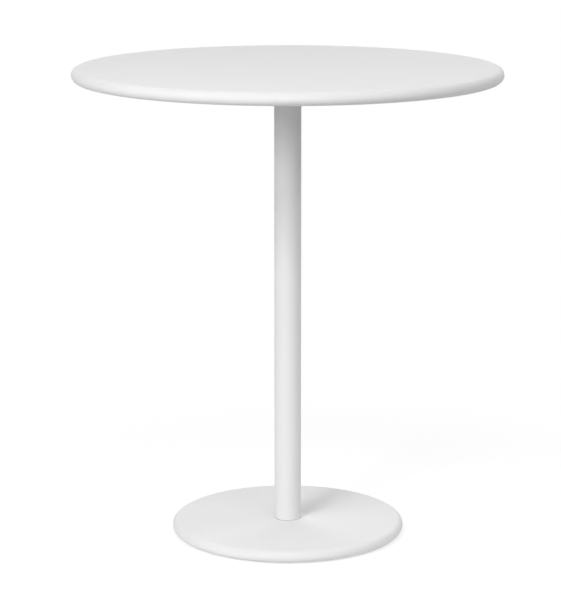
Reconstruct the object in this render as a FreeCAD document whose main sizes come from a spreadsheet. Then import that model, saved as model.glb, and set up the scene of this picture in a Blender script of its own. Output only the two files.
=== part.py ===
import FreeCAD, Part
import math
import os
import re
import Sketcher

# A round pedestal wine table: a disc top with a rounded rim, a slim straight column and a
# smaller weighted base with the same rim.
# Millimetres, +Z up. The origin is on the floor, on the column's axis.

# Driving sizes, each written once
SIZES = {
    # the table as a whole
    "overall_height": 670.0,  # floor to the top surface, with the glides wound in
    "floor_gap": 1.5,  # floor to the lowest line of the base rim
    "fit_gap": 0.05,  # round a piece that is pressed, bonded or screwed into another
    # the top: a pressed skin over a stiffening board, closed from below by a pan
    "top_diameter": 600.0,
    "top_thickness": 18.0,
    "top_sheet": 1.2,
    "top_lip": 14.0,  # flat part of the rim that is turned under the board
    "core_gap": 0.5,  # from the board's edge to where the skin starts to curve
    "pan_sheet": 1.0,
    "pan_gap": 0.5,  # from the pan's edge to the lip
    # the flange between the column and the top
    "flange_diameter": 170.0,
    "flange_thickness": 5.0,
    "flange_chamfer": 1.0,
    "spigot_length": 18.0,  # how far the spigot reaches down inside the column
    "spigot_shoulder": 4.0,  # how much slimmer its neck is, where it sits in the flange
    "spigot_chamfer": 1.0,
    "weld_leg": 4.0,
    # the screws that hold the flange to the top
    "screw_count": 4,
    "screw_inset": 20.0,  # from the flange's edge to the screw's axis
    "screw_diameter": 6.0,
    "screw_hole_gap": 0.3,
    "screw_head_width": 2.25,  # how far the head stands out past the shank
    "screw_head_height": 3.3,
    "screw_head_chamfer": 1.3,
    "screw_key": 4.0,  # across the flats of the hexagon socket
    "screw_key_depth": 2.0,
    "screw_tip_chamfer": 0.8,
    "screw_tip_gap": 1.0,  # from the screw's tip to the end of its insert
    "washer_width": 3.0,
    "washer_thickness": 1.6,
    "insert_wall": 1.7,
    "insert_cover": 3.0,  # board left above an insert
    # the column
    "column_diameter": 38.0,
    "column_wall": 2.0,
    "column_chamfer": 0.2,
    "gasket_thickness": 0.3,
    "gasket_setback": 0.2,  # how far the gasket's edge lies inside the column's
    # the joint between the column and the base
    "bolt_diameter": 10.0,
    "bolt_length": 35.0,
    "bolt_land": 6.0,  # ballast that the bolt clamps
    "bolt_hole_gap": 0.5,
    "bolt_head_width": 3.75,
    "bolt_head_height": 5.0,
    "bolt_head_chamfer": 2.0,
    "bolt_key": 6.0,
    "bolt_key_depth": 3.0,
    "bolt_tip_chamfer": 1.2,
    "bolt_tip_gap": 2.0,  # from the bolt's tip to the end of its hole
    "plug_end": 4.0,  # plug left above the bolt's hole
    "clamp_washer_width": 8.0,
    "clamp_washer_thickness": 2.0,
    "lock_washer_width": 4.0,
    "lock_washer_thickness": 0.9,
    "tooth_count": 12,
    "tooth_notch": 2.0,  # diameter of the notch between two teeth
    "well_gap": 1.0,  # round the clamp washer, in the ballast
    "pin_count": 2,
    "pin_diameter": 5.0,
    "pin_depth": 9.0,  # into the plug
    "pin_floor": 2.0,  # ballast left under a pin
    "pin_end_gap": 0.5,
    "pin_chamfer": 0.5,
    # the base: a pressed cover crimped round a steel disc
    "base_diameter": 332.0,
    "base_thickness": 16.5,
    "base_sheet": 1.5,
    "base_lip": 9.0,
    "ballast_gap": 0.5,
    # the levelling glides: a screw whose head turns in a plastic foot
    "glide_count": 4,
    "glide_inset": 4.0,  # from the cover's lip to the edge of a foot
    "stem_diameter": 8.0,
    "thread_gap": 0.1,
    "stem_end_gap": 1.5,  # from the screw's end to the cover
    "stem_chamfer": 0.8,
    "stem_head_diameter": 13.0,
    "stem_head_height": 2.0,
    "stem_key": 5.0,
    "stem_key_depth": 3.0,
    "head_play": 0.15,  # above and below the screw's head, in its foot
    "head_gap": 0.2,  # round the screw's head
    "neck_gap": 0.6,
    "pad_diameter": 28.0,
    "pad_floor": 1.5,
    "pad_web": 1.2,  # plastic that closes over the screw's head
    "pad_chamfer": 0.8,
    "pad_gap": 1.0,  # round the foot, in the ballast
    "key_gap": 0.4,  # round the key's hole in the foot
}

# Heights, radii and diameters that follow from the driving sizes
WORKED_OUT = {
    "top_flat_radius": "top_diameter / 2 - top_thickness / 2",
    "top_lip_radius": "top_flat_radius - top_lip",
    "top_under": "overall_height - top_thickness",
    "core_over": "overall_height - top_sheet",
    "core_under": "top_under + top_sheet",
    "pan_under": "core_under - pan_sheet",
    "flange_radius": "flange_diameter / 2",
    "flange_under": "pan_under - flange_thickness",
    "screw_place": "flange_radius - screw_inset",
    "screw_radius": "screw_diameter / 2",
    "screw_hole": "screw_diameter + 2 * screw_hole_gap",
    "screw_seat": "flange_under - washer_thickness",
    "screw_head_under": "screw_seat - screw_head_height",
    "screw_head_radius": "screw_radius + screw_head_width",
    "insert_over": "core_over - insert_cover",
    "insert_radius": "screw_radius + insert_wall",
    "screw_tip": "insert_over - screw_tip_gap",
    "column_radius": "column_diameter / 2",
    "bore_radius": "column_radius - column_wall",
    "plug_radius": "bore_radius - fit_gap",
    "spigot_neck_radius": "plug_radius - spigot_shoulder",
    "spigot_under": "flange_under - spigot_length",
    "base_top": "floor_gap + base_thickness",
    "column_foot": "base_top + gasket_thickness",
    "base_flat_radius": "base_diameter / 2 - base_thickness / 2",
    "base_lip_radius": "base_flat_radius - base_lip",
    "ballast_over": "base_top - base_sheet",
    "ballast_under": "floor_gap + base_sheet",
    "bolt_radius": "bolt_diameter / 2",
    "bolt_hole": "bolt_diameter + 2 * bolt_hole_gap",
    "bolt_seat": "ballast_over - bolt_land",
    "lock_washer_over": "bolt_seat - clamp_washer_thickness",
    "bolt_head_over": "lock_washer_over - lock_washer_thickness",
    "bolt_head_under": "bolt_head_over - bolt_head_height",
    "bolt_head_radius": "bolt_radius + bolt_head_width",
    "bolt_tip": "bolt_head_over + bolt_length",
    "bolt_hole_end": "bolt_tip + bolt_tip_gap",
    "clamp_washer_radius": "bolt_radius + clamp_washer_width",
    "lock_washer_radius": "bolt_radius + lock_washer_width",
    "pin_radius": "pin_diameter / 2",
    "pin_hole": "pin_diameter + 2 * fit_gap",
    "pin_place": "(bolt_radius + plug_radius) / 2",
    "pin_under": "bolt_seat + pin_floor",
    "pin_over": "column_foot + pin_depth",
    "stem_radius": "stem_diameter / 2",
    "stem_under": "pad_floor + head_play",
    "stem_neck": "stem_under + stem_head_height",
    "stem_over": "ballast_over - stem_end_gap",
    "pad_radius": "pad_diameter / 2",
    "pad_cavity_over": "stem_neck + head_play",
    "pad_cavity_radius": "stem_head_diameter / 2 + head_gap",
    "pad_over": "pad_cavity_over + pad_web",
    "key_hole_radius": "stem_key / sqrt(3) + key_gap",
    "glide_place": "base_lip_radius - glide_inset - pad_radius",
}

# How a sketch counts the points of an edge
START, END, CENTRE = range(1, 4)
UPWARD = FreeCAD.Vector(0, 0, 1)

doc = FreeCAD.newDocument("wine_table")
sheet = doc.addObject("Spreadsheet::Sheet", "Sizes")


def fill_sheet():
    """Write the driving sizes as plain numbers, and what follows from them as formulas."""
    rows = {name: str(size) for name, size in SIZES.items()}
    rows.update({name: "=" + formula for name, formula in WORKED_OUT.items()})
    for row, (name, text) in enumerate(rows.items(), start=1):
        sheet.set(f"A{row}", name)
        sheet.set(f"B{row}", text)
        sheet.setAlias(f"B{row}", name)
    doc.recompute()


def tied(text):
    """Spell a value such as 'bolt_tip + bolt_tip_gap' as an expression on the sheet."""
    return re.sub(r"[a-z]\w*\b(?!\()", r"Sizes.\g<0>", text)


def number(text):
    """What a value comes to with the present sizes."""
    return float(sheet.evalExpression(text))


def origin_feature(body, role):
    """One of the body's own origin planes or axes."""
    return next(item for item in body.Origin.OriginFeatures if item.Role == role)


def new_sketch(body, role, height="0"):
    """A sketch on one of the body's origin planes, raised by a height from the sheet."""
    sketch = body.newObject("Sketcher::SketchObject", "Sketch")
    sketch.AttachmentSupport = [(origin_feature(body, role), "")]
    sketch.MapMode = "FlatFace"
    if height != "0":
        sketch.setExpression("AttachmentOffset.Base.z", tied(height))
    return sketch


def hold(sketch, edge, point, x=None, y=None):
    """Hold a point of an edge at a place worked out from the sheet."""
    horizontal_axis, vertical_axis, sketch_origin = -1, -2, -1
    for kind, axis, text in (("DistanceX", vertical_axis, x), ("DistanceY", horizontal_axis, y)):
        if text == "0":
            sketch.addConstraint(Sketcher.Constraint("PointOnObject", edge, point, axis))
        elif text is not None:
            rule = Sketcher.Constraint(kind, sketch_origin, START, edge, point, number(text))
            index = sketch.addConstraint(rule)
            sketch.setExpression(f"Constraints[{index}]", tied(text))


def draw(sketch, corners):
    """Draw a closed outline; 'round' after a corner makes the next edge a half round, bulging to +X."""
    places = [FreeCAD.Vector(number(x), number(y), 0) for x, y, *_ in corners]
    edges = []
    for (x, y, *bend), here, there in zip(corners, places, places[1:] + places[:1]):
        if bend:
            circle = Part.Circle((here + there) / 2, UPWARD, here.distanceToPoint(there) / 2)
            edge = sketch.addGeometry(Part.ArcOfCircle(circle, -math.pi / 2, math.pi / 2))
            first, last = (END, START) if here.y > there.y else (START, END)
            hold(sketch, edge, CENTRE, x=x)
        else:
            edge = sketch.addGeometry(Part.LineSegment(here, there))
            first, last = START, END
        hold(sketch, edge, first, x, y)
        edges.append((edge, first, last))
    for (edge, _, last), (following, first, _) in zip(edges, edges[1:] + edges[:1]):
        sketch.addConstraint(Sketcher.Constraint("Coincident", edge, last, following, first))


def turned(label, corners, place=None):
    """A body turned from a half section of (radius, height) corners.

    It is turned about the table's axis or, with a place, about an upright axis that far from it.
    """
    body = doc.addObject("PartDesign::Body", label)
    body.Label = label
    sketch = new_sketch(body, "XZ_Plane")
    turn = body.newObject("PartDesign::Revolution", "Turn")
    if place is None:
        draw(sketch, corners)
        turn.ReferenceAxis = (sketch, ["V_Axis"])
    else:
        draw(sketch, [(f"{place} + {radius}", *rest) for radius, *rest in corners])
        ends = [corners[0][1], corners[-1][1]]
        low, high = [FreeCAD.Vector(number(place), number(height), 0) for height in ends]
        axis = sketch.addGeometry(Part.LineSegment(low, high), True)
        for point, height in zip((START, END), ends):
            hold(sketch, axis, point, place, height)
        turn.ReferenceAxis = (sketch, ["Axis0"])
    turn.Profile = sketch
    turn.Angle = 360
    return body


def ring(label, inner, outer, under, over, place=None):
    """A plain ring or, with no inner radius, a plain disc."""
    corners = [(inner, under), (outer, under), (outer, over), (inner, over)]
    return turned(label, corners, place)


def pocket(body, sketch, depth=None):
    """Cut a sketch downward, right through or to a depth."""
    cut = body.newObject("PartDesign::Pocket", "Cut")
    cut.Profile = sketch
    if depth is None:
        cut.Type = "ThroughAll"
    else:
        cut.setExpression("Length", tied(depth))
    return cut


def bore(body, top, diameter, place="0", depth=None):
    """A round hole, cut downward from a height at a place on the X axis."""
    sketch = new_sketch(body, "XY_Plane", top)
    middle = FreeCAD.Vector(number(place), 0, 0)
    edge = sketch.addGeometry(Part.Circle(middle, UPWARD, number(diameter) / 2))
    hold(sketch, edge, CENTRE, place, "0")
    index = sketch.addConstraint(Sketcher.Constraint("Diameter", edge, number(diameter)))
    sketch.setExpression(f"Constraints[{index}]", tied(diameter))
    return pocket(body, sketch, depth)


def hexagon_socket(body, top, across, place="0"):
    """A key's socket, cut downward from a height at a place on the X axis."""
    sketch = new_sketch(body, "XY_Plane", top)
    corner = f"{across} / sqrt(3)"
    half = f"{across} / 2"
    draw(sketch, [
        (f"{place} + {corner}", "0"),
        (f"{place} + {corner} / 2", half),
        (f"{place} - {corner} / 2", half),
        (f"{place} - {corner}", "0"),
        (f"{place} - {corner} / 2", f"-{half}"),
        (f"{place} + {corner} / 2", f"-{half}"),
    ])
    return pocket(body, sketch)


def repeat(body, features, count):
    """Repeat features evenly round the table's axis."""
    pattern = body.newObject("PartDesign::PolarPattern", "Repeat")
    pattern.Originals = features
    pattern.Axis = (origin_feature(body, "Z_Axis"), [""])
    pattern.Angle = 360
    pattern.setExpression("Occurrences", tied(count))
    body.Tip = pattern


def base_feature(body):
    """The feature that a body starts with."""
    return next(item for item in body.Group if item.isDerivedFrom("PartDesign::Feature"))


def pressed_disc(label, flat_radius, lip_radius, sheet_size, under, over):
    """A sheet disc whose rim is a full half round that turns under into a flat lip."""
    return turned(label, [
        ("0", over),
        (flat_radius, over, "round"),
        (flat_radius, under),
        (lip_radius, under),
        (lip_radius, f"{under} + {sheet_size}"),
        (flat_radius, f"{under} + {sheet_size}", "round"),
        (flat_radius, f"{over} - {sheet_size}"),
        ("0", f"{over} - {sheet_size}"),
    ])


def top_skin():
    """The visible top, pressed with its rim from one sheet."""
    return pressed_disc(
        "top_skin", "top_flat_radius", "top_lip_radius", "top_sheet", "top_under", "overall_height"
    )


def top_core():
    """The board that stiffens the top, with blind holes for the inserts."""
    body = ring("top_core", "0", "top_flat_radius - core_gap", "core_under", "core_over")
    hole = bore(body, "insert_over", "2 * insert_radius + 2 * fit_gap", "screw_place")
    repeat(body, [hole], "screw_count")
    return body


def underside_pan():
    """The sheet that closes the top from below, inside the lip."""
    body = ring("underside_pan", "0", "top_lip_radius - pan_gap", "pan_under", "core_under")
    hole = bore(body, "core_under", "screw_hole", "screw_place")
    repeat(body, [hole], "screw_count")
    return body


def threaded_inserts():
    """Steel bushes in the board, which the flange screws bite into."""
    body = ring(
        "threaded_inserts", "screw_radius + fit_gap", "insert_radius",
        "core_under", "insert_over", "screw_place",
    )
    repeat(body, [base_feature(body)], "screw_count")
    return body


def top_flange():
    """The disc that carries the top."""
    body = turned("top_flange", [
        ("spigot_neck_radius + fit_gap", "flange_under"),
        ("flange_radius - flange_chamfer", "flange_under"),
        ("flange_radius", "flange_under + flange_chamfer"),
        ("flange_radius", "pan_under"),
        ("spigot_neck_radius + fit_gap", "pan_under"),
    ])
    hole = bore(body, "pan_under", "screw_hole", "screw_place")
    repeat(body, [hole], "screw_count")
    return body


def flange_spigot():
    """The turned stub that is pressed into the flange and centres it in the column."""
    return turned("flange_spigot", [
        ("0", "spigot_under"),
        ("plug_radius - spigot_chamfer", "spigot_under"),
        ("plug_radius", "spigot_under + spigot_chamfer"),
        ("plug_radius", "flange_under"),
        ("spigot_neck_radius", "flange_under"),
        ("spigot_neck_radius", "pan_under"),
        ("0", "pan_under"),
    ])


def flange_weld():
    """The fillet of weld between the column and the flange."""
    return turned("flange_weld", [
        ("column_radius + fit_gap", "flange_under - weld_leg"),
        ("column_radius + weld_leg", "flange_under"),
        ("column_radius + fit_gap", "flange_under"),
    ])


def flange_washers():
    """Plain washers under the heads of the flange screws."""
    body = ring(
        "flange_washers", "screw_hole / 2", "screw_radius + washer_width",
        "screw_seat", "flange_under", "screw_place",
    )
    repeat(body, [base_feature(body)], "screw_count")
    return body


def flange_screws():
    """Button-head screws, driven upward through the flange into the inserts."""
    body = turned("flange_screws", [
        ("0", "screw_head_under"),
        ("screw_head_radius - screw_head_chamfer", "screw_head_under"),
        ("screw_head_radius", "screw_head_under + screw_head_chamfer"),
        ("screw_head_radius", "screw_seat"),
        ("screw_radius", "screw_seat"),
        ("screw_radius", "screw_tip - screw_tip_chamfer"),
        ("screw_radius - screw_tip_chamfer", "screw_tip"),
        ("0", "screw_tip"),
    ], "screw_place")
    socket = hexagon_socket(body, "screw_head_under + screw_key_depth", "screw_key", "screw_place")
    repeat(body, [base_feature(body), socket], "screw_count")
    return body


def column_tube():
    """The straight tube, from the gasket on the base to the flange under the top."""
    return turned("column_tube", [
        ("bore_radius", "column_foot"),
        ("column_radius - column_chamfer", "column_foot"),
        ("column_radius", "column_foot + column_chamfer"),
        ("column_radius", "flange_under"),
        ("bore_radius", "flange_under"),
    ])


def foot_plug():
    """The turned plug in the foot of the column, tapped for the centre bolt."""
    body = ring("foot_plug", "0", "plug_radius", "column_foot", "bolt_hole_end + plug_end")
    bore(body, "bolt_hole_end", "bolt_diameter + 2 * fit_gap")
    hole = bore(body, "pin_over + pin_end_gap", "pin_hole", "pin_place")
    repeat(body, [hole], "pin_count")
    return body


def locating_pins():
    """Dowels that stop the column turning on the base."""
    body = turned("locating_pins", [
        ("0", "pin_under"),
        ("pin_radius - pin_chamfer", "pin_under"),
        ("pin_radius", "pin_under + pin_chamfer"),
        ("pin_radius", "pin_over - pin_chamfer"),
        ("pin_radius - pin_chamfer", "pin_over"),
        ("0", "pin_over"),
    ], "pin_place")
    repeat(body, [base_feature(body)], "pin_count")
    return body


def drill_for_foot(body, top):
    """The holes that the centre bolt and the locating pins pass through."""
    bore(body, top, "bolt_hole")
    hole = bore(body, top, "pin_hole", "pin_place")
    repeat(body, [hole], "pin_count")


def foot_gasket():
    """The thin disc between the column and the base, set back a little from the column's face."""
    body = ring("foot_gasket", "0", "column_radius - gasket_setback", "base_top", "column_foot")
    drill_for_foot(body, "column_foot")
    return body


def base_cover():
    """The visible base, pressed with its rim from one sheet."""
    body = pressed_disc(
        "base_cover", "base_flat_radius", "base_lip_radius", "base_sheet", "floor_gap", "base_top"
    )
    drill_for_foot(body, "base_top")
    return body


def ballast_disc():
    """The steel disc inside the base, with a well for the bolt's head and seats for the glides."""
    body = ring("ballast_disc", "0", "base_flat_radius - ballast_gap", "ballast_under", "ballast_over")
    bore(body, "ballast_over", "bolt_hole")
    bore(body, "bolt_seat", "2 * clamp_washer_radius + 2 * well_gap")
    pin_hole = bore(
        body, "ballast_over", "pin_hole", "pin_place", "ballast_over - pin_under + pin_end_gap"
    )
    repeat(body, [pin_hole], "pin_count")
    thread = bore(body, "ballast_over", "stem_diameter + 2 * thread_gap", "glide_place")
    seat = bore(body, "pad_over", "pad_diameter + 2 * pad_gap", "glide_place")
    repeat(body, [thread, seat], "glide_count")
    return body


def centre_bolt():
    """The button-head bolt that draws the column down onto the base."""
    body = turned("centre_bolt", [
        ("0", "bolt_head_under"),
        ("bolt_head_radius - bolt_head_chamfer", "bolt_head_under"),
        ("bolt_head_radius", "bolt_head_under + bolt_head_chamfer"),
        ("bolt_head_radius", "bolt_head_over"),
        ("bolt_radius", "bolt_head_over"),
        ("bolt_radius", "bolt_tip - bolt_tip_chamfer"),
        ("bolt_radius - bolt_tip_chamfer", "bolt_tip"),
        ("0", "bolt_tip"),
    ])
    hexagon_socket(body, "bolt_head_under + bolt_key_depth", "bolt_key")
    return body


def clamp_washer():
    """The broad washer that spreads the bolt's pull over the ballast."""
    return ring("clamp_washer", "bolt_hole / 2", "clamp_washer_radius", "lock_washer_over", "bolt_seat")


def lock_washer():
    """The toothed washer under the bolt's head."""
    body = ring(
        "lock_washer", "bolt_hole / 2", "lock_washer_radius", "bolt_head_over", "lock_washer_over"
    )
    notch = bore(body, "lock_washer_over", "tooth_notch", "lock_washer_radius")
    repeat(body, [notch], "tooth_count")
    return body


def stand_on_circle(body, index):
    """Move a glide's piece out to its own place round the base."""
    angle = f"360 deg * {index} / Sizes.glide_count"
    body.setExpression("Placement.Base.x", f"Sizes.glide_place * cos({angle})")
    body.setExpression("Placement.Base.y", f"Sizes.glide_place * sin({angle})")


def glide_stem(index):
    """A levelling screw, turned with a key from below."""
    body = turned(f"glide_stem_{index + 1}", [
        ("0", "stem_under"),
        ("stem_head_diameter / 2", "stem_under"),
        ("stem_head_diameter / 2", "stem_neck"),
        ("stem_radius", "stem_neck"),
        ("stem_radius", "stem_over - stem_chamfer"),
        ("stem_radius - stem_chamfer", "stem_over"),
        ("0", "stem_over"),
    ])
    hexagon_socket(body, "stem_under + stem_key_depth", "stem_key")
    stand_on_circle(body, index)
    return body


def glide_pad(index):
    """The plastic foot that a levelling screw's head turns in."""
    body = turned(f"glide_pad_{index + 1}", [
        ("key_hole_radius", "0"),
        ("pad_radius - pad_chamfer", "0"),
        ("pad_radius", "pad_chamfer"),
        ("pad_radius", "pad_over"),
        ("stem_radius + neck_gap", "pad_over"),
        ("stem_radius + neck_gap", "pad_cavity_over"),
        ("pad_cavity_radius", "pad_cavity_over"),
        ("pad_cavity_radius", "pad_floor"),
        ("key_hole_radius", "pad_floor"),
    ])
    stand_on_circle(body, index)
    return body


def check(pieces):
    """Stop if an object failed, a cut took nothing away or a piece isn't a sound solid."""
    for item in doc.Objects:
        if "Invalid" in item.State or "Error" in item.State:
            raise RuntimeError(f"{item.Name} of {item.getParentGeoFeatureGroup()} failed: {item.State}")
        if item.isDerivedFrom("Sketcher::SketchObject") and not item.FullyConstrained:
            raise RuntimeError(f"{item.Name} isn't fully held by its sizes")
        if item.isDerivedFrom("PartDesign::Pocket"):
            if item.Shape.Volume >= item.BaseFeature.Shape.Volume:
                raise RuntimeError(f"{item.Name} cuts nothing")
    for body in pieces:
        if body.Shape.isNull() or not body.Shape.isValid() or not body.Shape.Solids:
            raise RuntimeError(f"{body.Label} isn't a sound solid")


fill_sheet()
table = [
    top_skin(), top_core(), underside_pan(), threaded_inserts(),
    top_flange(), flange_spigot(), flange_weld(), flange_washers(), flange_screws(),
    column_tube(), foot_plug(), locating_pins(), foot_gasket(),
    base_cover(), ballast_disc(), centre_bolt(), clamp_washer(), lock_washer(),
]
for glide in range(int(sheet.glide_count)):
    table.append(glide_stem(glide))
    table.append(glide_pad(glide))
doc.recompute()
check(table)

os.makedirs("parts", exist_ok=True)
for piece in table:
    piece.Shape.exportStep(f"parts/{piece.Label}.step")
    box = piece.Shape.optimalBoundingBox()
    print(
        f"{piece.Label}: {len(piece.Shape.Solids)} solid(s), {piece.Shape.Volume / 1000:.2f} cm3, "
        f"{box.XLength:.1f} x {box.YLength:.1f} x {box.ZLength:.1f} mm, "
        f"z {box.ZMin:.2f} to {box.ZMax:.2f}"
    )
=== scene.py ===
# %% [markdown]
# A wine table, dressed on its CAD frame.
# The table is three turned shapes in one white powder coat: a disc top with a fully rounded rim, a straight
# tube and a smaller disc base. The CAD model has every piece at its real size, but its round faces are made
# of flat facets. So this script keeps the frame, turns each visible piece again with a finer skin, adds the
# small things that the CAD leaves plain, and paints it all. First the frame is loaded and its box is
# remembered.

# %% Load the frame
import math
import bmesh
import bpy
from mathutils import Matrix, Vector


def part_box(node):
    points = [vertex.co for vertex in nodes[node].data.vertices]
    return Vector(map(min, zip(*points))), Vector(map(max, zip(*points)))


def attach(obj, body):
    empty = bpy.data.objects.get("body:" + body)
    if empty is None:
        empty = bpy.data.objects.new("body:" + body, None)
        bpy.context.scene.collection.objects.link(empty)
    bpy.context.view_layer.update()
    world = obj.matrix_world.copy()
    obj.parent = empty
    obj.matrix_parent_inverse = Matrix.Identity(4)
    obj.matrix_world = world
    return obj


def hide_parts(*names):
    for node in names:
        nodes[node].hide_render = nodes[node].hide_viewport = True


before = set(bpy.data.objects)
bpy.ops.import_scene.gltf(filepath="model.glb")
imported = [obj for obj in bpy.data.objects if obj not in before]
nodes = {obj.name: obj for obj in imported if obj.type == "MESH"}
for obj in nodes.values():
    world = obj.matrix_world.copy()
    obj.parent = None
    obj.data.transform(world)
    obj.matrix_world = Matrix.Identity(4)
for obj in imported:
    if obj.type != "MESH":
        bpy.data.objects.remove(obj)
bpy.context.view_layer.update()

MM = 0.001


# %% [markdown]
# Nearly every piece of this table was turned, rolled or pressed round one axis, so one small kit of helpers
# does most of the work. A section is drawn as a line of edges at y = 0, straight runs and arcs, and the
# section is then spun round the axis, as on a lathe. A cylinder primitive with a bevel would be quicker,
# but it couldn't give the turned-under lip of the rims. The arcs are drawn by spinning a single vertex, so
# they are true circles.

# %% Drawing a section
HALF_TURN, QUARTER_TURN = 180, 90  # degrees


def points_of(made):
    """The vertices among what an operator gives back."""
    return [v for v in made if isinstance(v, bmesh.types.BMVert)]


def run(bm, start, *corners):
    """Straight edges from a vertex (or from the first corner) through corners of (radius, height)."""
    for radius, height in corners:
        end = bm.verts.new((radius, 0, height))
        if start is not None:
            bm.edges.new((start, end))
        start = end
    return start


def sweep(bm, start, centre, degrees, steps):
    """An arc from a vertex about a centre of (radius, height). Positive goes from the top out and down."""
    arc = bmesh.ops.spin(bm, geom=[start], cent=(centre[0], 0, centre[1]), axis=(0, 1, 0),
                         angle=math.radians(degrees), steps=steps, use_merge=False)
    return points_of(arc["geom_last"])[0]


# %% [markdown]
# Spin leaves a seam where the last step meets the first, and two poles where a section touches the axis.
# Merging the points that lie on each other closes both. The faces are then turned outwards, because a spin
# can leave them inside out.

# %% Turning a section
SAME_POINT = 0.002 * MM
FULL_CIRCLE = 2 * math.pi


def spin(bm, geom, angle, steps, **how):
    """Spins round the Z axis, which is the axis of the table."""
    made = bmesh.ops.spin(bm, geom=geom, cent=(0, 0, 0), axis=(0, 0, 1), angle=angle, steps=steps, **how)
    return made["geom_last"]


def weld_doubles(bm):
    """Joins the points that lie on each other and turns all faces outwards."""
    bmesh.ops.remove_doubles(bm, verts=bm.verts, dist=SAME_POINT)
    bmesh.ops.recalc_face_normals(bm, faces=bm.faces)


def turn(bm, steps):
    """Spins all that is drawn into a closed skin round the Z axis."""
    spin(bm, bm.verts[:] + bm.edges[:], FULL_CIRCLE, steps, use_merge=True)
    weld_doubles(bm)


def copied_round(bm, count):
    """Copies all that is made evenly round the Z axis."""
    part = FULL_CIRCLE * (count - 1) / count
    spin(bm, bm.verts[:] + bm.edges[:] + bm.faces[:], part, count - 1, use_duplicate=True)


print("points within", SAME_POINT / MM, "mm of each other are joined")


# %% [markdown]
# A finished piece has its place in its mesh and its object at the origin. It rides on a body of the frame,
# hides the CAD nodes that it stands for, and says which of the record's finishes it wears. Smooth shading
# with sharp edges by angle keeps the rims round and the cut edges crisp.

# %% Handing a piece over to the frame
LOW_CORNER, HIGH_CORNER = 0, 6  # places in the list of a box's eight corners


def finished(bm, name, body, finish, stands_for, crease=40):
    """Makes an object of a bmesh; edges bent by more than the crease, in degrees, stay sharp."""
    mesh = bpy.data.meshes.new(name)
    bm.to_mesh(mesh)
    bm.free()
    mesh.shade_smooth()
    mesh.set_sharp_from_angle(angle=math.radians(crease))
    mesh.materials.append(finish)
    piece = bpy.data.objects.new(name, mesh)
    bpy.context.scene.collection.objects.link(piece)
    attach(piece, body)
    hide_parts(*stands_for)
    low, high = (Vector(piece.bound_box[corner]) for corner in (LOW_CORNER, HIGH_CORNER))
    print(name, len(mesh.polygons), "faces,", [round(v / MM, 2) for v in high - low], "mm")


# %% [markdown]
# The finishes come next, because each piece takes one as it is made. They are node materials on Object
# coordinates, in metres, so a noise scale of 500 is a grain of about 2 mm. One helper makes the finish, and
# another the noise. Numbers that are the same all over go straight into the shader's sockets.

# %% A finish and its grain
def new_finish(name, slot, **sockets):
    """A plain shader, with the sockets that are the same all over."""
    finish = bpy.data.materials.new(name)
    finish["slot"] = slot
    finish.use_nodes = True
    for socket, value in sockets.items():
        shader_of(finish).inputs[socket.replace("_", " ")].default_value = value
    print("made", name)
    return finish


def shader_of(finish):
    return finish.node_tree.nodes["Principled BSDF"]


def grain(finish, scale, detail, stretch=(1, 1, 1)):
    """A noise on Object coordinates; returns its factor socket."""
    tree = finish.node_tree
    place = tree.nodes.new("ShaderNodeTexCoord")
    mapping = tree.nodes.new("ShaderNodeMapping")
    mapping.inputs["Scale"].default_value = stretch
    noise = tree.nodes.new("ShaderNodeTexNoise")
    noise.inputs["Scale"].default_value = scale
    noise.inputs["Detail"].default_value = detail
    tree.links.new(place.outputs["Object"], mapping.inputs["Vector"])
    tree.links.new(mapping.outputs["Vector"], noise.inputs["Vector"])
    return noise.outputs["Fac"]


# %% [markdown]
# A noise can do three things to a finish: blend two colours, make the gloss uneven, and raise a relief. The
# middle of a noise is its busiest part, so only that part of its range is used.

# %% What a grain does
QUIET, BUSY = 0.3, 0.7  # the part of a noise's range that is used


def tint(finish, factor, first, second):
    """Blends two base colours by a grain."""
    tree = finish.node_tree
    ramp = tree.nodes.new("ShaderNodeValToRGB")
    for stop, place, colour in zip(ramp.color_ramp.elements, (QUIET, BUSY), (first, second)):
        stop.position, stop.color = place, (*colour, 1)
    tree.links.new(factor, ramp.inputs["Fac"])
    tree.links.new(ramp.outputs["Color"], shader_of(finish).inputs["Base Color"])


def roughen(finish, factor, low, high):
    """Lets the roughness wander between two values."""
    tree = finish.node_tree
    mapped = tree.nodes.new("ShaderNodeMapRange")
    for name, value in (("From Min", QUIET), ("From Max", BUSY), ("To Min", low), ("To Max", high)):
        mapped.inputs[name].default_value = value
    tree.links.new(factor, mapped.inputs["Value"])
    tree.links.new(mapped.outputs["Result"], shader_of(finish).inputs["Roughness"])


def relief(finish, factor, height, strength):
    """Raises a grain out of the surface."""
    tree = finish.node_tree
    bump = tree.nodes.new("ShaderNodeBump")
    bump.inputs["Distance"].default_value = height
    bump.inputs["Strength"].default_value = strength
    tree.links.new(factor, bump.inputs["Height"])
    tree.links.new(bump.outputs["Normal"], shader_of(finish).inputs["Normal"])


print("a grain's range is", QUIET, "to", BUSY)


# %% [markdown]
# Powder coat is plastic dust that is sprayed on and baked until it flows. It never flows quite flat: it
# keeps a skin like an orange's, in dimples a few millimetres apart, and its gloss is a little uneven. The
# white here is a neutral one, with the faintest clouding. It is nearly matte: in the photograph the column
# leaves no reflection on the base, and the rim has a broad, even light and no sharp highlight.

# %% White powder coat
white_coat = new_finish("white_coat", "powder_coat", IOR=1.5, Specular_IOR_Level=0.25)
tint(white_coat, grain(white_coat, scale=9, detail=4), (0.800, 0.800, 0.797), (0.812, 0.812, 0.809))
roughen(white_coat, grain(white_coat, scale=60, detail=4), low=0.65, high=0.75)
relief(white_coat, grain(white_coat, scale=420, detail=2), height=0.12 * MM, strength=0.25)

# %% [markdown]
# The screws, washers and hidden steel are zinc plated: a metal with a soft, slightly blue gleam, streaked
# and cloudy where the bath left it. A stretched noise makes the streaks.

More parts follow.
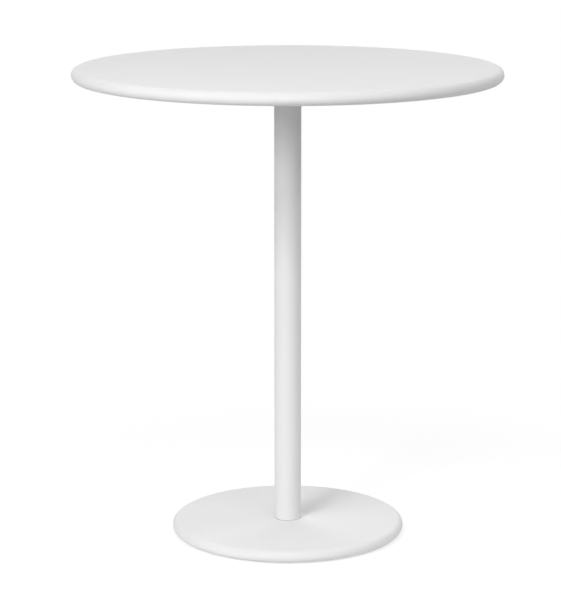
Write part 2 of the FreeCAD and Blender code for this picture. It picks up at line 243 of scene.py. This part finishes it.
# %% Zinc plated steel
zinc_plate = new_finish("zinc_plate", "zinc_plated_steel", Metallic=1.0)
streaks = grain(zinc_plate, scale=260, detail=5, stretch=(1, 1, 0.25))
tint(zinc_plate, streaks, (0.50, 0.51, 0.53), (0.68, 0.69, 0.70))
roughen(zinc_plate, grain(zinc_plate, scale=500, detail=4), low=0.26, high=0.44)
relief(zinc_plate, grain(zinc_plate, scale=1800, detail=3), height=0.03 * MM, strength=0.3)

# %% [markdown]
# The ballast is a heavy disc that nobody sees unless the table is tipped. It is dipped in a dark primer,
# which lies dull and slightly pebbled over the rough steel.

# %% Dark ballast primer
dark_primer = new_finish("dark_primer", "ballast_paint", IOR=1.45)
tint(dark_primer, grain(dark_primer, scale=35, detail=6), (0.035, 0.035, 0.038), (0.065, 0.065, 0.070))
roughen(dark_primer, grain(dark_primer, scale=120, detail=4), low=0.55, high=0.78)
relief(dark_primer, grain(dark_primer, scale=330, detail=4), height=0.3 * MM, strength=0.5)

# %% [markdown]
# The feet are moulded in dark nylon, with the fine sparkle of a spark-eroded mould and paler scuffs where
# they are pushed over a floor. The gasket is black rubber, dull and a little dusty. The board inside the
# top is pressed wood fibre.

# %% Nylon, rubber and board
dark_nylon = new_finish("dark_nylon", "glide_nylon", IOR=1.53)
tint(dark_nylon, grain(dark_nylon, scale=180, detail=6), (0.045, 0.045, 0.048), (0.085, 0.085, 0.090))
roughen(dark_nylon, grain(dark_nylon, scale=240, detail=4), low=0.42, high=0.62)
relief(dark_nylon, grain(dark_nylon, scale=2600, detail=2), height=0.04 * MM, strength=0.5)

black_rubber = new_finish("black_rubber", "gasket_rubber", IOR=1.5)
tint(black_rubber, grain(black_rubber, scale=400, detail=5), (0.030, 0.030, 0.030), (0.075, 0.074, 0.072))
roughen(black_rubber, grain(black_rubber, scale=700, detail=3), low=0.72, high=0.92)

fibre_board = new_finish("fibre_board", "core_board", IOR=1.4)
fibres = grain(fibre_board, scale=700, detail=6, stretch=(1, 0.3, 1))
tint(fibre_board, fibres, (0.42, 0.30, 0.18), (0.62, 0.48, 0.32))
roughen(fibre_board, grain(fibre_board, scale=300, detail=3), low=0.80, high=0.95)
relief(fibre_board, grain(fibre_board, scale=1200, detail=4), height=0.1 * MM, strength=0.4)


# %% [markdown]
# The top is a pressed sheet that rolls round a full half circle and turns under into a short lip. The base
# is the same pressing, smaller and in thicker sheet. Both are drawn as the section of the sheet, outer and
# inner side, and turned in one go. 256 steps keep the edge of the big disc round to a few hundredths of a
# millimetre.

# %% The pressed discs
DISC_STEPS, RIM_STEPS, INSIDE_STEPS = 256, 28, 20
LIP_BURR = 0.35  # broken off the lip's corner, as a share of the sheet
PAN_GAP = 0.5 * MM  # between the top's lip and the pan
BASE_LIP, BOLT_HOLE = 9 * MM, 5.5 * MM


def pressed_disc(name, node, sheet, lip, hole):
    """A sheet with a half-round rim; lip is the flat that is turned under, hole the opening's radius."""
    low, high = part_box(node)
    rim = (high.z - low.z) / 2
    flat, middle = high.x - rim, (high.z + low.z) / 2
    soft = LIP_BURR * sheet
    bm = bmesh.new()
    first = run(bm, None, (hole, high.z))
    pen = run(bm, first, (flat / 2, high.z), (flat, high.z))
    pen = sweep(bm, pen, (flat, middle), HALF_TURN, RIM_STEPS)
    pen = run(bm, pen, (flat - lip + soft, low.z), (flat - lip, low.z + soft))
    pen = run(bm, pen, (flat - lip, low.z + sheet), (flat, low.z + sheet))
    pen = sweep(bm, pen, (flat, middle), -HALF_TURN, INSIDE_STEPS)
    pen = run(bm, pen, (hole, high.z - sheet))
    if hole:
        bm.edges.new((pen, first))
    turn(bm, DISC_STEPS)
    finished(bm, name, "table", white_coat, [node])


top_low, top_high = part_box("top_skin")
top_flat = top_high.x - (top_high.z - top_low.z) / 2
top_sheet = top_high.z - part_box("top_core")[1].z
top_lip = top_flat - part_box("underside_pan")[1].x - PAN_GAP
pressed_disc("top_shell", "top_skin", top_sheet, top_lip, 0)

base_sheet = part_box("base_cover")[1].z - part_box("ballast_disc")[1].z
pressed_disc("base_shell", "base_cover", base_sheet, BASE_LIP, BOLT_HOLE)


# %% [markdown]
# The column is a plain tube with its lower end faced and the burr taken off. The pan that closes the top
# from below and the flange that the tube is welded to are discs with broken edges. All three are turned
# from their sections.

# %% Column, pan and flange
TUBE_WALL, TUBE_BURR, TUBE_STEPS = 2 * MM, 0.2 * MM, 144
PAN_EDGE, FLANGE_EDGE, SPIGOT_HOLE = 0.3 * MM, 1.0 * MM, 13 * MM


def broken_edge_disc(name, node, hole, edge, finish, steps=192):
    """A disc or ring with its corners broken by a small flat."""
    low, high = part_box(node)
    bm = bmesh.new()
    first = run(bm, None, (hole, high.z))
    pen = run(bm, first, (high.x - edge, high.z), (high.x, high.z - edge), (high.x, low.z + edge))
    pen = run(bm, pen, (high.x - edge, low.z), (hole, low.z))
    if hole:
        bm.edges.new((pen, first))
    turn(bm, steps)
    finished(bm, name, "table", finish, [node])


tube_low, tube_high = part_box("column_tube")
outside, inside = tube_high.x, tube_high.x - TUBE_WALL
bm = bmesh.new()
first = run(bm, None, (inside, tube_low.z + TUBE_BURR))
pen = run(bm, first, (inside + TUBE_BURR, tube_low.z), (outside - TUBE_BURR, tube_low.z))
pen = run(bm, pen, (outside, tube_low.z + TUBE_BURR), (outside, tube_high.z), (inside, tube_high.z))
bm.edges.new((pen, first))
turn(bm, TUBE_STEPS)
finished(bm, "column", "table", white_coat, ["column_tube"])
broken_edge_disc("pan", "underside_pan", 0, PAN_EDGE, white_coat)
broken_edge_disc("flange", "top_flange", SPIGOT_HOLE, FLANGE_EDGE, white_coat)


# %% [markdown]
# Under the top, the tube is welded to the flange all the way round. A weld is laid in small overlapping
# pools, which freeze as a row of crescents. A noise on a smooth ring would give lumps, not crescents. So
# one pool is made: the section of the bead is bowed along the seam, spun a few degrees in three steps, and
# swollen in the middle. It is then copied all round, and the copies are welded into one skin.

# %% The weld bead
POOLS, POOL_BOW, POOL_ARC = 56, 1.2 * MM, 8
BITE = 0.3 * MM  # how deep the bead melts into tube and flange
SWELLS = (1, 1.07, 1.05, 1)  # the bead's size along one pool

weld_low, weld_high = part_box("flange_weld")
seam = Vector((tube_high.x - BITE, 0, weld_high.z + BITE))
leg = seam.z - weld_low.z
bm = bmesh.new()
heel = run(bm, None, (seam.x, seam.z))
toe = run(bm, heel, (seam.x, seam.z - leg))
toe = sweep(bm, toe, (seam.x, seam.z), -QUARTER_TURN, POOL_ARC)
bm.edges.new((toe, heel))
for v in bm.verts:
    from_seam = v.co - seam
    v.co.y = POOL_BOW * 2 * abs(from_seam.x * from_seam.z) / leg ** 2

end = bm.verts[:] + bm.edges[:]
stretch = FULL_CIRCLE / POOLS / (len(SWELLS) - 1)
for step in range(1, len(SWELLS)):
    end = spin(bm, end, stretch, 1, use_merge=False)
    here = Matrix.Rotation(stretch * step, 4, "Z") @ seam
    swell = SWELLS[step] / SWELLS[step - 1]
    bmesh.ops.scale(bm, vec=(swell,) * 3, space=Matrix.Translation(-here), verts=points_of(end))
copied_round(bm, POOLS)
weld_doubles(bm)
finished(bm, "weld_bead", "table", white_coat, ["flange_weld"], crease=60)


# %% [markdown]
# The fasteners are screws with a hexagon socket, and their thread comes first. A comb of teeth is spun once
# round while it climbs by one pitch, so that each tooth runs into the next. A stack of rings would be
# quicker, but a real thread climbs. Its two open ends are drawn out to flat rings, which meet the head and
# the tip.

# %% A helical thread
ROUND = 48  # steps round a screw
LEAD, RUN_OUT = 0.25, 1.5  # of the pitch: below the first tooth, and all that the two ends take


def comb_thread(root, crest, pitch, low, teeth):
    """A helical V thread whose ends are flat rings; returns it with the height of the upper ring."""
    bm = bmesh.new()
    start = low + LEAD * pitch
    pen = run(bm, None, (root, start))
    for tooth in range(teeth):
        pen = run(bm, pen, (crest, start + (tooth + 0.5) * pitch), (root, start + (tooth + 1) * pitch))
    climb = (0, 0, pitch / ROUND)
    spin(bm, bm.verts[:] + bm.edges[:], FULL_CIRCLE, ROUND, dvec=climb, use_merge=False)
    weld_doubles(bm)
    high = low + (teeth + RUN_OUT) * pitch
    middle = (low + high) / 2
    ends = [e for e in bm.edges if e.is_boundary]
    for height, side in ((low, -1), (high, 1)):
        rim = [e for e in ends if (e.verts[0].co.z - middle) * side > 0]
        for v in points_of(bmesh.ops.extrude_edge_only(bm, edges=rim)["geom"]):
            v.co = (*(v.co.xy * root / v.co.xy.length), height)
    return bm, high


print("a thread has", ROUND, "steps to each turn")


# %% [markdown]
# The head is turned with a round mouth. The hexagon starts as a circle of six corners, its edges are
# divided until it has as many points as the mouth, and the two loops are bridged, so the socket's rim is
# clean. A boolean would cut the socket too, but it leaves long, thin faces round it.

# %% A hexagon socket
COUNTERSINK = 0.25 * MM
CORNERS = 6
TO_CORNER = 1 / math.sqrt(3)  # from a hexagon's width across its flats to the radius of its corners


def cut_socket(bm, mouth, crown, key, depth):
    """Joins the round mouth of a head to a hexagon hole with a flat floor."""
    hexagon = bmesh.ops.create_circle(bm, cap_ends=False, segments=CORNERS, radius=key * TO_CORNER,
                                      matrix=Matrix.Translation((0, 0, crown + COUNTERSINK)))
    sides = list({e for v in hexagon["verts"] for e in v.link_edges})
    divided = bmesh.ops.subdivide_edges(bm, edges=sides, cuts=ROUND // CORNERS - 1)
    rim = list({e for e in divided["geom"] if isinstance(e, bmesh.types.BMEdge)})
    bmesh.ops.bridge_loops(bm, edges=mouth + rim)
    bottom = points_of(bmesh.ops.extrude_edge_only(bm, edges=rim)["geom"])
    bmesh.ops.translate(bm, verts=bottom, vec=(0, 0, depth))
    edges = [e for e in bm.edges if e.is_boundary and all(v in bottom for v in e.verts)]
    bmesh.ops.contextual_create(bm, geom=edges)


print("a socket has", ROUND // CORNERS, "points to each side")


# %% [markdown]
# The whole screw is one closed skin: the turned head and shank, the thread, the tip and the socket. Head
# and tip are drawn as two open sections, the thread is joined in between, and merging doubles closes the
# joints.

# %% A whole screw
THREAD_DEPTH, SHOULDER = 0.6, 0.4  # of the pitch: the thread's depth, and its slope below the shank
POINT = 0.8 * MM  # the slope of the tip
MOUTH = 1.15  # the round mouth, against the hexagon's corners
HEAD_ARC = 8
CLOSE = 0.01 * MM


def join(bm, other):
    """Adds another bmesh to this one."""
    carrier = bpy.data.meshes.new("carrier")
    other.to_mesh(carrier)
    other.free()
    bm.from_mesh(carrier)
    bpy.data.meshes.remove(carrier)


def socket_screw(crown, seat, thread, tip, head, dome, shank, key, depth, pitch):
    """A screw that stands on its head, on the Z axis. crown, seat, thread and tip are heights."""
    root = shank - THREAD_DEPTH * pitch
    mouth = key * TO_CORNER * MOUTH
    teeth = math.floor((tip - POINT - thread) / pitch - RUN_OUT)
    thread = tip - POINT - (teeth + RUN_OUT) * pitch
    helix, over = comb_thread(root, shank, pitch, thread, teeth)
    bm = bmesh.new()
    pen = run(bm, None, (mouth, crown), (head - dome, crown))
    pen = sweep(bm, pen, (head - dome, crown + dome), -QUARTER_TURN, HEAD_ARC)
    run(bm, pen, (head, seat), (shank, seat), (shank, thread - SHOULDER * pitch), (root, thread))
    run(bm, None, (root, over), (root - POINT, tip), (0, tip))
    turn(bm, ROUND)
    join(bm, helix)
    opening = [e for e in bm.edges if e.is_boundary and e.verts[0].co.z < crown + CLOSE]
    cut_socket(bm, opening, crown, key, depth)
    weld_doubles(bm)
    bmesh.ops.dissolve_degenerate(bm, edges=bm.edges, dist=SAME_POINT)
    bmesh.ops.recalc_face_normals(bm, faces=bm.faces)
    return bm


print("a thread is", THREAD_DEPTH, "of its pitch deep")


# %% [markdown]
# Four of these hold the flange to the top, each on its washer. Only one screw and one washer are made, and
# three copies of each are turned round the column. The washer was punched, so one of its edges is rounded
# off and the other is sharp.

# %% The flange screws and their washers
SCREWS, SCREW_PLACE = 4, 65 * MM
WASHER_HOLE, WASHER_WIDE, WASHER_EDGE = 3.2 * MM, 6 * MM, 0.25 * MM
PLAIN_SHANK = 3 * MM


def all_round(bm, place, count):
    """Stands what is made at a radius, and copies it evenly round the column."""
    bmesh.ops.translate(bm, verts=bm.verts, vec=(place, 0, 0))
    copied_round(bm, count)


screw_low, screw_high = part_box("flange_screws")
washer_low, washer_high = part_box("flange_washers")
bm = socket_screw(crown=screw_low.z, seat=washer_low.z, thread=washer_high.z + PLAIN_SHANK, tip=screw_high.z,
                  head=5.25 * MM, dome=2.4 * MM, shank=3 * MM, key=4 * MM, depth=2 * MM, pitch=1 * MM)
all_round(bm, SCREW_PLACE, SCREWS)
finished(bm, "flange_screw_set", "table", zinc_plate, ["flange_screws"], crease=35)

bm = bmesh.new()
first = run(bm, None, (WASHER_HOLE, washer_low.z))
pen = run(bm, first, (WASHER_WIDE - 2 * WASHER_EDGE, washer_low.z))
pen = run(bm, pen, (WASHER_WIDE, washer_low.z + 1.5 * WASHER_EDGE), (WASHER_WIDE, washer_high.z))
pen = run(bm, pen, (WASHER_HOLE, washer_high.z))
bm.edges.new((pen, first))
turn(bm, ROUND)
all_round(bm, SCREW_PLACE, SCREWS)
finished(bm, "flange_washer_set", "table", zinc_plate, ["flange_washers"])


# %% [markdown]
# One long bolt comes up through the ballast into the foot of the column and holds the table together. Its
# head is lower and broader, and a thick washer spreads its pull.

# %% The centre bolt and its washer
BOLT_HEAD = 5 * MM
HUB_WASHER_EDGE = 0.3 * MM
bolt_low, bolt_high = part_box("centre_bolt")
bm = socket_screw(crown=bolt_low.z, seat=bolt_low.z + BOLT_HEAD, thread=tube_low.z, tip=bolt_high.z,
                  head=8.75 * MM, dome=3.6 * MM, shank=5 * MM, key=6 * MM, depth=3 * MM, pitch=1.5 * MM)
finished(bm, "hub_bolt", "table", zinc_plate, ["centre_bolt"], crease=35)
broken_edge_disc("hub_washer", "clamp_washer", BOLT_HOLE, HUB_WASHER_EDGE, zinc_plate, ROUND * 2)


# %% [markdown]
# Each of the four feet is a levelling screw whose head turns in a nylon pad. The pad has a rounded sole
# with a shallow groove, and grip flutes round its edge, so that fingers can hold it while the key turns the
# screw. The flutes are made by drawing in every second pair of lines of the turned wall.

# %% The nylon pads
KEY_HOLE, NECK, CAVITY = 3.29 * MM, 4.6 * MM, 6.7 * MM  # radii
CAVITY_FLOOR, CAVITY_ROOF = 1.5 * MM, 3.8 * MM  # heights
GROOVE_IN, GROOVE_OUT, GROOVE_DEPTH, SLOPE = 8.0 * MM, 10.0 * MM, 0.5 * MM, 0.3 * MM
SOLE_ROUND, SOLE_ARC, SHOULDER_ROUND, SHOULDER_ARC = 1.0 * MM, 6, 0.6 * MM, 4
PAD_LINES, FLUTE_LINES, FLUTE_DEPTH = 120, 4, 0.55 * MM
WALL = 0.1 * MM  # how near to the widest a point of the wall lies


def stand(bm, low, high):
    """Moves a piece that was made on the Z axis to the middle of its node."""
    bmesh.ops.translate(bm, verts=bm.verts, vec=((low.x + high.x) / 2, (low.y + high.y) / 2, 0))


def nylon_pad(number):
    node = f"glide_pad_{number}"
    low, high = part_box(node)
    wide, sole, over = (high.x - low.x) / 2, low.z, high.z
    bm = bmesh.new()
    first = run(bm, None, (KEY_HOLE, sole + SLOPE))
    pen = run(bm, first, (KEY_HOLE + SLOPE, sole), (GROOVE_IN, sole))
    pen = run(bm, pen, (GROOVE_IN + SLOPE, sole + GROOVE_DEPTH), (GROOVE_OUT - SLOPE, sole + GROOVE_DEPTH))
    pen = run(bm, pen, (GROOVE_OUT, sole), (wide - SOLE_ROUND, sole))
    pen = sweep(bm, pen, (wide - SOLE_ROUND, sole + SOLE_ROUND), -QUARTER_TURN, SOLE_ARC)
    pen = run(bm, pen, (wide, over - SHOULDER_ROUND))
    pen = sweep(bm, pen, (wide - SHOULDER_ROUND, over - SHOULDER_ROUND), -QUARTER_TURN, SHOULDER_ARC)
    pen = run(bm, pen, (NECK, over), (NECK, CAVITY_ROOF), (CAVITY, CAVITY_ROOF))
    pen = run(bm, pen, (CAVITY, CAVITY_FLOOR), (KEY_HOLE, CAVITY_FLOOR))
    bm.edges.new((pen, first))
    turn(bm, PAD_LINES)
    for v in bm.verts:
        line = round(math.atan2(v.co.y, v.co.x) / FULL_CIRCLE * PAD_LINES) % FLUTE_LINES
        if v.co.xy.length > wide - WALL and line < FLUTE_LINES / 2:
            v.co.xy *= (wide - FLUTE_DEPTH) / wide
    stand(bm, low, high)
    finished(bm, f"nylon_foot_{number}", f"glide_{number}", dark_nylon, [node], crease=30)


# %% [markdown]
# Foot and screw ride on bodies of their own: the pad slides down, and the screw turns as it goes.

# %% The levelling feet
FEET = 4
STEM_HEAD, STEM_THREAD = 2 * MM, 5 * MM


def levelling_screw(number):
    node = f"glide_stem_{number}"
    low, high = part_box(node)
    bm = socket_screw(crown=low.z, seat=low.z + STEM_HEAD, thread=STEM_THREAD, tip=high.z, head=6.5 * MM,
                      dome=0.5 * MM, shank=4 * MM, key=5 * MM, depth=3 * MM, pitch=1.25 * MM)
    stand(bm, low, high)
    finished(bm, f"levelling_screw_{number}", f"stem_{number}", zinc_plate, [node], crease=35)


for number in range(1, FEET + 1):
    nylon_pad(number)
    levelling_screw(number)


# %% [markdown]
# What stays hidden keeps its CAD shape, which is right as it is, and only gets its finish: the board, the
# inserts, the spigot, the plug, the pins, the gasket under the column, the toothed washer and the ballast.

# %% Finishes for the CAD pieces that stay
for node, finish in (("top_core", fibre_board), ("threaded_inserts", zinc_plate),
                     ("flange_spigot", zinc_plate), ("foot_plug", zinc_plate),
                     ("locating_pins", zinc_plate), ("foot_gasket", black_rubber),
                     ("lock_washer", zinc_plate), ("ballast_disc", dark_primer)):
    nodes[node].data.materials.clear()
    nodes[node].data.materials.append(finish)
    print(node, "wears", finish.name)


# %% [markdown]
# The floor is plain and pale. The photograph is cut out on white, so to the camera, and to reflections, the
# floor near the table mixes a white glow with its own lit surface: it is white where the light falls and
# keeps a soft shadow under the base. Further away, where the lamps fall off, only the white is left. To the
# light that bounces about, it is an ordinary pale floor. These helpers tell the two kinds of light apart,
# and near from far.

# %% What reaches the floor
def seen_directly(tree):
    """1 for rays from the camera, off a mirror or through glass, 0 for light that bounces about."""
    path = tree.nodes.new("ShaderNodeLightPath")
    either = path.outputs["Is Camera Ray"]
    for ray in ("Is Glossy Ray", "Is Transmission Ray"):
        larger = tree.nodes.new("ShaderNodeMath")
        larger.operation = "MAXIMUM"
        tree.links.new(either, larger.inputs[0])
        tree.links.new(path.outputs[ray], larger.inputs[1])
        either = larger.outputs[0]
    return either


def away_from_table(tree, near, far):
    """0 round the table and 1 away from it, with a soft step between two distances."""
    place = tree.nodes.new("ShaderNodeTexCoord")
    distance = tree.nodes.new("ShaderNodeVectorMath")
    distance.operation = "LENGTH"
    step = tree.nodes.new("ShaderNodeMapRange")
    step.interpolation_type = "SMOOTHSTEP"
    step.inputs["From Min"].default_value = near
    step.inputs["From Max"].default_value = far
    tree.links.new(place.outputs["Object"], distance.inputs[0])
    tree.links.new(distance.outputs["Value"], step.inputs["Value"])
    return step.outputs["Result"]


def dull(tree, level):
    """A dull surface in one grey."""
    shader = tree.nodes.new("ShaderNodeBsdfDiffuse")
    shader.inputs["Color"].default_value = (level, level, level, 1)
    return shader


def mixed(tree, factor, first, second):
    """One shader where the factor is 0 and another where it is 1."""
    mix = tree.nodes.new("ShaderNodeMixShader")
    tree.links.new(factor, mix.inputs[0])
    tree.links.new(first.outputs[0], mix.inputs[1])
    tree.links.new(second.outputs[0], mix.inputs[2])
    return mix


# %% [markdown]
# Shown and bounced light are mixed last. For the bounced light the floor is palest round the base, because
# in the picture the lower half of the base's rim is nearly as light as the upper.

# %% The floor
GLOW, LIT_GREY = 0.68, 0.40
SHADOW_NEAR, SHADOW_FAR = 0.35, 0.8  # metres: the shadow is lost between these distances
PALE_GREY, FAR_GREY = 0.90, 0.52
PALE_NEAR, PALE_FAR = 0.25, 0.9  # metres: the palest floor ends between these distances
FLOOR_REACH = 30

floor_finish = bpy.data.materials.new("pale_floor")
floor_finish.use_nodes = True
tree = floor_finish.node_tree
tree.nodes.clear()
white = tree.nodes.new("ShaderNodeEmission")
glow = tree.nodes.new("ShaderNodeEmission")
glow.inputs["Strength"].default_value = GLOW
near = tree.nodes.new("ShaderNodeAddShader")
tree.links.new(glow.outputs[0], near.inputs[0])
tree.links.new(dull(tree, LIT_GREY).outputs[0], near.inputs[1])
shown = mixed(tree, away_from_table(tree, SHADOW_NEAR, SHADOW_FAR), near, white)
pale, far = dull(tree, PALE_GREY), dull(tree, FAR_GREY)
bounced = mixed(tree, away_from_table(tree, PALE_NEAR, PALE_FAR), pale, far)
surface = mixed(tree, seen_directly(tree), bounced, shown)
output = tree.nodes.new("ShaderNodeOutputMaterial")
tree.links.new(surface.outputs[0], output.inputs["Surface"])

bm = bmesh.new()
bmesh.ops.create_grid(bm, x_segments=4, y_segments=4, size=FLOOR_REACH)
floor_mesh = bpy.data.meshes.new("floor")
bm.to_mesh(floor_mesh)
bm.free()
floor_mesh.materials.append(floor_finish)
floor = bpy.data.objects.new("floor", floor_mesh)
bpy.context.scene.collection.objects.link(floor)
print("floor laid at height", floor.location.z)


# %% [markdown]
# The photograph was lit by a key light high on the left, which throws the column's soft shadow over the
# base, and by a broad bank of weaker light all round. The boxes stand far enough off to light the flat top
# evenly, and near enough for the rim of the top to be a little lighter than the rim of the base, as in the
# picture. Their shares were found by lighting the table with one box at a time and adding the pictures up
# until the levels on top, rims, column and base agreed. The room itself gives no light: it is only the
# white that the camera and the gloss see.

# %% The light
AIM = Vector((0, 0, 0.4))
NEAR, FAR = 3.6, 5.5  # metres


def soft_box(name, bearing, rise, distance, width, height, watts):
    """bearing is in degrees to the right of the camera, rise in degrees above the table's middle."""
    around, up = math.radians(bearing), math.radians(rise)
    away = Vector((math.sin(around) * math.cos(up), -math.cos(around) * math.cos(up), math.sin(up)))
    lamp = bpy.data.lights.new(name, "AREA")
    lamp.shape, lamp.size, lamp.size_y, lamp.energy = "RECTANGLE", width, height, watts
    box = bpy.data.objects.new(name, lamp)
    box.location = AIM + distance * away
    box.rotation_euler = (-away).to_track_quat("-Z", "Y").to_euler()
    bpy.context.scene.collection.objects.link(box)
    print(name, watts, "W")


soft_box("key_box", bearing=-30, rise=38, distance=NEAR, width=1.0, height=0.8, watts=38.5)
soft_box("left_box", bearing=-45, rise=20, distance=NEAR, width=2.6, height=1.0, watts=56)
soft_box("high_front_box", bearing=0, rise=50, distance=NEAR, width=2.6, height=1.3, watts=22)
soft_box("front_right_box", bearing=45, rise=25, distance=NEAR, width=2.6, height=1.2, watts=31)
soft_box("right_box", bearing=100, rise=38, distance=NEAR, width=2.6, height=1.2, watts=26.5)
soft_box("back_box", bearing=180, rise=45, distance=FAR, width=6.0, height=2.0, watts=120)

room = bpy.data.worlds.new("room")
room.use_nodes = True
bpy.context.scene.world = room
backdrop = room.node_tree.nodes["Background"]
backdrop.inputs["Color"].default_value = (1, 1, 1, 1)
room.node_tree.links.new(seen_directly(room.node_tree), backdrop.inputs["Strength"])


# %% [markdown]
# The camera stands where the photograph's stood: straight in front, about 3.2 m away and 1 m up, looking a
# little down. Place, lens and tilt come from fitting the outlines of both discs in the picture, 561 by 593
# pixels.

# %% The camera
PICTURE = (561, 593)
LENS_PIXELS, TABLE_RIGHT_OF_MIDDLE = 2329.3, 7.25  # pixels of the picture
SENSOR = 36
LOOKS_DOWN = 11.96  # degrees
CAMERA_PLACE = (0, -3.2303, 1.0279)  # metres

view = bpy.data.cameras.new("photo_view")
view.sensor_width = SENSOR
view.lens = LENS_PIXELS * SENSOR / max(PICTURE)
view.shift_x = -TABLE_RIGHT_OF_MIDDLE / max(PICTURE)
camera = bpy.data.objects.new("photo_view", view)
camera.location = CAMERA_PLACE
camera.rotation_euler = (math.radians(90 - LOOKS_DOWN), 0, 0)
bpy.context.scene.collection.objects.link(camera)
bpy.context.scene.camera = camera
bpy.context.scene.view_settings.view_transform = "Standard"
print("lens", round(view.lens, 1), "mm")
